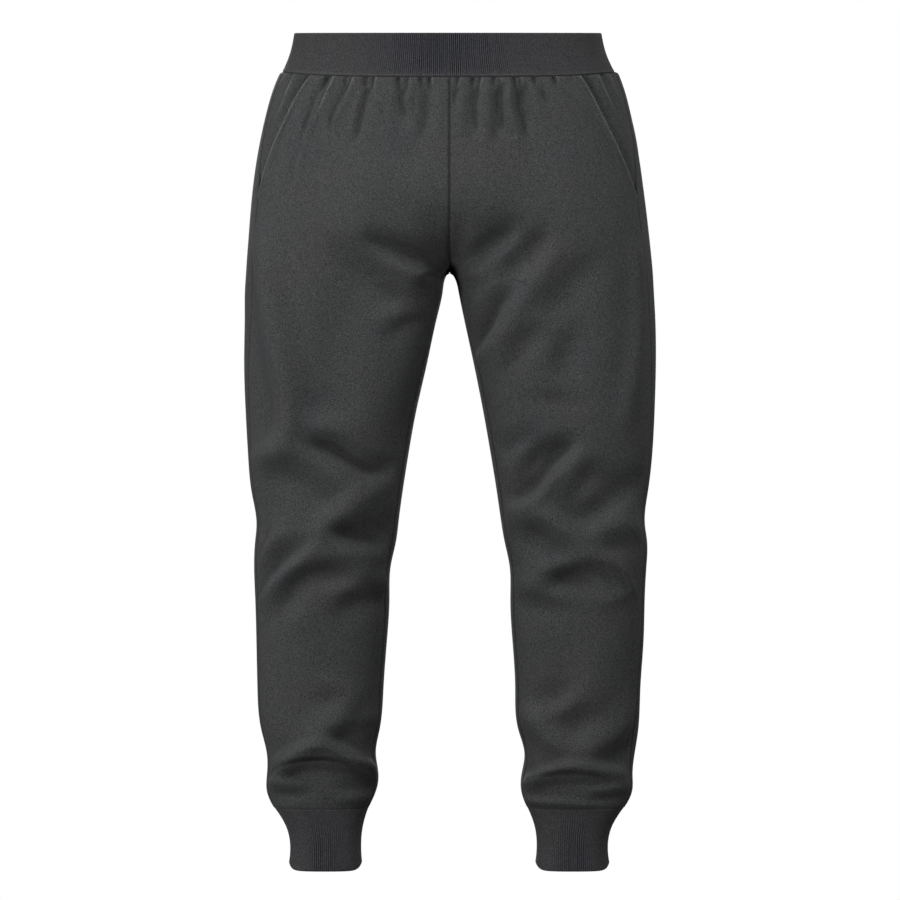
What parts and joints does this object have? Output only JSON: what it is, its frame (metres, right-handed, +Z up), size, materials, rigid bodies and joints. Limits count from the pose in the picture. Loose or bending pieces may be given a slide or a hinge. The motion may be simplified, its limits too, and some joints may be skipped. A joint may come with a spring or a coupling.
{
  "type": "jogger sweatpants",
  "caption": "Charcoal fleece jogger sweatpants filled out hollow, with a ribbed gathered waistband, slash side pockets, tapered legs with folds at knee and ankle, and ribbed ankle cuffs.",
  "frame": {"origin": "middle of the waist opening, level with the waist edge at the sides", "axes": "+Z up, -Y the way the wearer faces (the front panels), +X to the right of someone looking at the front; left and right in node names are as seen from the front"},
  "size_m": [0.5018, 0.2387, 1.0301],
  "materials": {
    "fleece": "matt brushed sweatshirt knit, charcoal melange",
    "rib": "matt ribbed knit, charcoal"
  },
  "bodies": {
    "root": {"front_left": "fleece", "front_right": "fleece", "back_left": "fleece", "back_right": "fleece", "pocket_facing_left": "fleece", "pocket_facing_right": "fleece", "waistband": "rib", "cuff_left": "rib", "cuff_right": "rib"}
  },
  "joints": []
}
